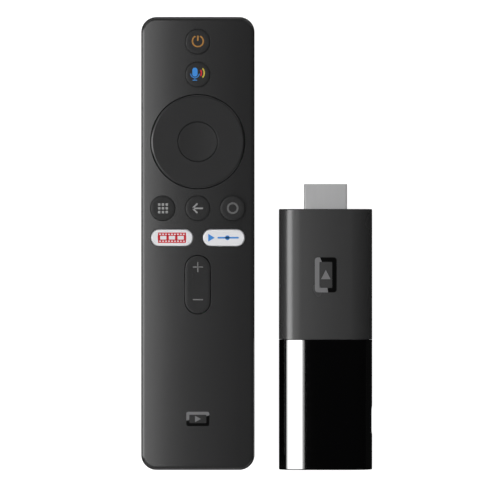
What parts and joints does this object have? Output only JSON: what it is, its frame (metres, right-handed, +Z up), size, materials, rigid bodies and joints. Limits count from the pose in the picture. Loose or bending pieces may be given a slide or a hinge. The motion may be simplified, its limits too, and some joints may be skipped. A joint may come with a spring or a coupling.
{
  "type": "streaming media player",
  "caption": "Slim dark voice remote with a round d-pad, lying beside an HDMI streaming stick with a matte and a gloss half.",
  "frame": {"origin": "on the surface both items lie on, under the middle of the box round the remote and the stick", "axes": "+X from the remote towards the stick, +Y along the remote towards its top end and along the stick towards its plug, +Z up out of the remote's front face"},
  "size_m": [0.0746, 0.1464, 0.0152],
  "materials": {
    "remote_shell": "satin",
    "remote_caps": "satin",
    "shortcut_white": "satin",
    "keypad_rubber": "matte",
    "board_green": "satin",
    "board_blue": "satin",
    "chip_black": "matte",
    "sheet_steel": "satin",
    "plug_steel": "satin",
    "spreader_aluminium": "satin",
    "contact_gold": "polished",
    "cell_wrap": "satin",
    "frame_plastic": "matte",
    "thermal_grey": "matte",
    "stick_matte": "satin",
    "stick_gloss": "gloss",
    "lens_clear": "polished",
    "mark_silver": "satin",
    "print_grey": "satin",
    "print_orange": "satin",
    "print_colours": "satin"
  },
  "bodies": {
    "remote": {"remote_front_shell": "remote_shell", "remote_back_shell": "remote_shell", "remote_keypad": "keypad_rubber", "remote_board": "board_green", "remote_snap_domes": "sheet_steel", "remote_board_screws": "sheet_steel", "remote_radio_chip": "chip_black", "remote_small_chips": "chip_black", "remote_microphone": "contact_gold", "battery_cell_left": "cell_wrap", "battery_cell_right": "cell_wrap", "battery_springs": "sheet_steel", "battery_contact_plates": "sheet_steel"},
    "battery_door": {"remote_battery_door": "remote_shell"},
    "power_button": {"power_button": "remote_caps"},
    "voice_button": {"voice_button": "remote_caps"},
    "ok_button": {"ok_button": "remote_caps"},
    "apps_button": {"apps_button": "remote_caps"},
    "back_button": {"back_button": "remote_caps"},
    "home_button": {"home_button": "remote_caps"},
    "shortcut_button_left": {"shortcut_button_left": "shortcut_white"},
    "shortcut_button_right": {"shortcut_button_right": "shortcut_white"},
    "dpad_rocker": {"dpad_rocker_plate": "frame_plastic"},
    "dpad": {"dpad_ring": "remote_caps"},
    "volume": {"volume_rocker": "remote_caps"},
    "stick": {"stick_matte_sleeve": "stick_matte", "stick_gloss_sleeve": "stick_gloss", "stick_inner_frame": "frame_plastic", "hdmi_plug_shell": "plug_steel", "hdmi_insulator": "chip_black", "hdmi_contacts": "contact_gold", "stick_main_board": "board_blue", "stick_processor": "chip_black", "stick_memory_chips": "chip_black", "stick_shield_can": "sheet_steel", "stick_thermal_pad": "thermal_grey", "stick_heat_spreader": "spreader_aluminium", "stick_radio_module": "sheet_steel", "stick_antenna": "contact_gold", "usb_socket_shell": "sheet_steel", "usb_socket_tongue": "chip_black", "usb_socket_contacts": "contact_gold", "status_led": "lens_clear", "status_light_pipe": "lens_clear"}
  },
  "joints": [
    {"name": "power_button_press", "type": "slide", "parent": "remote", "child": "power_button", "axis": [0, 0, -1], "range_m": [0, 0.0006], "stiffness_N_per_m": 1500},
    {"name": "voice_button_press", "type": "slide", "parent": "remote", "child": "voice_button", "axis": [0, 0, -1], "range_m": [0, 0.0006], "stiffness_N_per_m": 1500},
    {"name": "ok_button_press", "type": "slide", "parent": "remote", "child": "ok_button", "axis": [0, 0, -1], "range_m": [0, 0.0006], "stiffness_N_per_m": 1500},
    {"name": "apps_button_press", "type": "slide", "parent": "remote", "child": "apps_button", "axis": [0, 0, -1], "range_m": [0, 0.0006], "stiffness_N_per_m": 1500},
    {"name": "back_button_press", "type": "slide", "parent": "remote", "child": "back_button", "axis": [0, 0, -1], "range_m": [0, 0.0006], "stiffness_N_per_m": 1500},
    {"name": "home_button_press", "type": "slide", "parent": "remote", "child": "home_button", "axis": [0, 0, -1], "range_m": [0, 0.0006], "stiffness_N_per_m": 1500},
    {"name": "shortcut_button_left_press", "type": "slide", "parent": "remote", "child": "shortcut_button_left", "axis": [0, 0, -1], "range_m": [0, 0.0006], "stiffness_N_per_m": 1500},
    {"name": "shortcut_button_right_press", "type": "slide", "parent": "remote", "child": "shortcut_button_right", "axis": [0, 0, -1], "range_m": [0, 0.0006], "stiffness_N_per_m": 1500},
    {"name": "dpad_tip_up_down", "type": "hinge", "parent": "remote", "child": "dpad_rocker", "pos_m": [-0.01905, 0.03285, 0.01152], "axis": [1, 0, 0], "range_deg": [-2, 2], "stiffness_Nm_per_rad": 1},
    {"name": "dpad_tip_left_right", "type": "hinge", "parent": "dpad_rocker", "child": "dpad", "pos_m": [-0.01905, 0.03285, 0.01255], "axis": [0, 1, 0], "range_deg": [-2, 2], "stiffness_Nm_per_rad": 1},
    {"name": "volume_tip", "type": "hinge", "parent": "remote", "child": "volume", "pos_m": [-0.01905, -0.0133, 0.01192], "axis": [1, 0, 0], "range_deg": [-2.5, 2.5], "stiffness_Nm_per_rad": 0.6},
    {"name": "battery_door_slide", "type": "slide", "parent": "remote", "child": "battery_door", "axis": [0, -1, 0], "range_m": [0, 0.052]},
    {"name": "stick_lift", "type": "slide", "parent": "remote", "child": "stick", "axis": [0, 0, 1], "range_m": [0, 0.06]}
  ]
}
